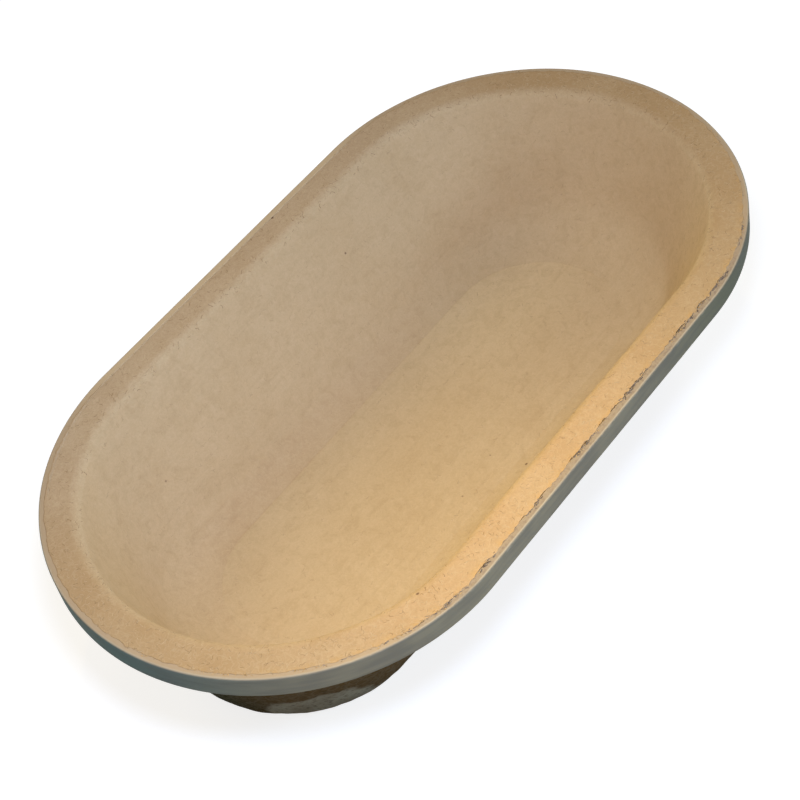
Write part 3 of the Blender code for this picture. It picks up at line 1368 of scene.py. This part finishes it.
@dataclass(frozen=True)
class Studio:
    """The plain pale floor, the soft lamps round it and the white surroundings."""

    floor_radius: float = 4.0
    floor_sides: int = 96
    floor_colour: str = "#B4B4B2"
    surround: str = "#FFE7CB"
    surround_level: float = 0.20
    glow: float = 0.80
    lamps: Sequence[Lamp] = (
        Lamp("cool_fill", bearing=228, elevation=56, distance=0.5, size=0.12, level=1.02, colour="#C6D9FF"),
        Lamp("warm_spot", bearing=45, elevation=66, distance=1.4, size=0.24, level=0.955, colour="#FFE061",
             aim=(-50 * MM, -120 * MM), pool=160 * MM),
        Lamp("low_window", bearing=300, elevation=22, distance=1.2, size=0.4, level=0.359, colour="#B7D6FF"),
        Lamp("far_window", bearing=20, elevation=18, distance=1.2, size=0.4, level=0.14, colour="#FFFDD3"),
        Lamp("left_bounce", bearing=110, elevation=45, distance=1.2, size=0.4, level=0.127, colour="#FFE7A7"),
    )

    def floor(self) -> None:
        """Lay the floor. It shows white where no shadow falls and lights the basket as pale grey card."""
        bm = bmesh.new()
        bmesh.ops.create_circle(bm, cap_ends=True, segments=self.floor_sides, radius=self.floor_radius)
        mesh = bpy.data.meshes.new("studio_floor")
        bm.to_mesh(mesh)
        bm.free()
        material = bpy.data.materials.new("studio_card")
        material.use_nodes = True
        tree = material.node_tree
        tree.nodes.clear()
        seen = self.seen(tree)
        card = add_node(tree, "ShaderNodeBsdfDiffuse", None, {"Color": linear(self.floor_colour)})
        glow = add_node(tree, "ShaderNodeEmission", None, {"Color": (1, 1, 1, 1), "Strength": self.glow})
        lit = add_node(tree, "ShaderNodeAddShader", None, {
            0: card.outputs["BSDF"], 1: glow.outputs["Emission"]})
        either = add_node(tree, "ShaderNodeMixShader", None, {
            0: seen, 1: card.outputs["BSDF"], 2: lit.outputs["Shader"]})
        add_node(tree, "ShaderNodeOutputMaterial", None, {"Surface": either.outputs["Shader"]})
        mesh.materials.append(material)
        floor = bpy.data.objects.new("studio_floor", mesh)
        bpy.context.scene.collection.objects.link(floor)

    @staticmethod
    def seen(tree: bpy.types.NodeTree) -> bpy.types.NodeSocket:
        """Tell rays that are seen, straight or in gloss or glass, from those that only carry light.

        Args:
            tree: The nodes that ask.

        Returns:
            A socket that gives 1 for a ray that is seen and 0 for any other.
        """
        ray = add_node(tree, "ShaderNodeLightPath")
        straight = add_node(tree, "ShaderNodeMath", {"operation": "MAXIMUM"}, {
            0: ray.outputs["Is Camera Ray"], 1: ray.outputs["Is Glossy Ray"]})
        through = add_node(tree, "ShaderNodeMath", {"operation": "MAXIMUM"}, {
            0: straight.outputs["Value"], 1: ray.outputs["Is Transmission Ray"]})
        return through.outputs["Value"]

    def surroundings(self) -> None:
        """Set the world: white where it is seen, dim and warm where it lights the basket."""
        world = bpy.data.worlds.new("studio")
        world.use_nodes = True
        tree = world.node_tree
        tree.nodes.clear()
        sky = add_node(tree, "ShaderNodeBackground", None, {
            "Color": linear(self.surround), "Strength": self.surround_level})
        white = add_node(tree, "ShaderNodeBackground", None, {"Color": (1, 1, 1, 1), "Strength": 1.0})
        either = add_node(tree, "ShaderNodeMixShader", None, {
            0: self.seen(tree), 1: sky.outputs["Background"], 2: white.outputs["Background"]})
        add_node(tree, "ShaderNodeOutputWorld", None, {"Surface": either.outputs["Shader"]})
        bpy.context.scene.world = world

    def set_up(self, target: Vector) -> None:
        """Lay the floor, hang the lamps and set the world.

        Args:
            target: The place that the lamps face.
        """
        self.floor()
        self.surroundings()
        for lamp in self.lamps:
            lamp.hang(target)
        bpy.context.scene.view_settings.view_transform = "Standard"


@dataclass(frozen=True)
class PhotoView:
    """The photograph's view: where the camera stands round the rim's middle, and how it is turned."""

    azimuth: float = -42.09
    elevation: float = 47.52
    roll: float = -14.16
    distance: float = 0.7306
    slide: tuple[float, float] = (-1.37 * MM, -23.38 * MM)
    focal_pixels: float = 1977.1
    image_pixels: float = 800.0

    def set_up(self, target: Vector) -> None:
        """Make the camera and take it as the scene's.

        Args:
            target: The middle of the rim.
        """
        data = bpy.data.cameras.new("photo_view")
        data.lens = self.focal_pixels / self.image_pixels * data.sensor_width
        camera = bpy.data.objects.new("photo_view", data)
        azimuth, elevation = math.radians(self.azimuth), math.radians(self.elevation)
        level = math.cos(elevation)
        back = Vector((math.sin(azimuth) * level, -math.cos(azimuth) * level, math.sin(elevation)))
        turn = (-back).to_track_quat("-Z", "Y").to_matrix() @ Matrix.Rotation(math.radians(self.roll), 3, "Z")
        across, up = turn.col[0], turn.col[1]
        place = target + back * self.distance + across * self.slide[0] + up * self.slide[1]
        camera.matrix_world = Matrix.Translation(place) @ turn.to_4x4()
        bpy.context.scene.collection.objects.link(camera)
        bpy.context.scene.camera = camera


def main() -> None:
    """Build the basket, then the studio and the camera."""
    logging.basicConfig(level=logging.INFO, format="%(name)s: %(message)s")
    form = BasketForm.from_frame()
    OuterShell(form, MouldedPulp()).dress()
    lining = FibreLining(form, PressedWoodFibre())
    LooseFibres(form, LooseScrap("single_fibre", "#8E7049", "#D6BA8F")).dress(lining.dress())
    SeamCrumbs("seam_flakes", lining, LooseScrap("grey_flake", "#5F5247", "#8F7F6E"), count=200,
               shortest=0.9 * MM, longest=2.4 * MM, gathered=12.0, seed=41, width=0.6 * MM).dress()
    SeamCrumbs("seam_crumbs", lining, LooseScrap("tan_crumb", "#75624F", "#D3A762"), count=520,
               shortest=0.25 * MM, longest=0.9 * MM, gathered=1.0, seed=42, width=0.35 * MM,
               height=0.12 * MM).dress()
    RimHoop(form, SawnPulpEdge()).dress()
    rim_middle = Vector((0.0, 0.0, form.height))
    Studio().set_up(rim_middle)
    PhotoView().set_up(rim_middle)


if __name__ == "__main__":
    main()
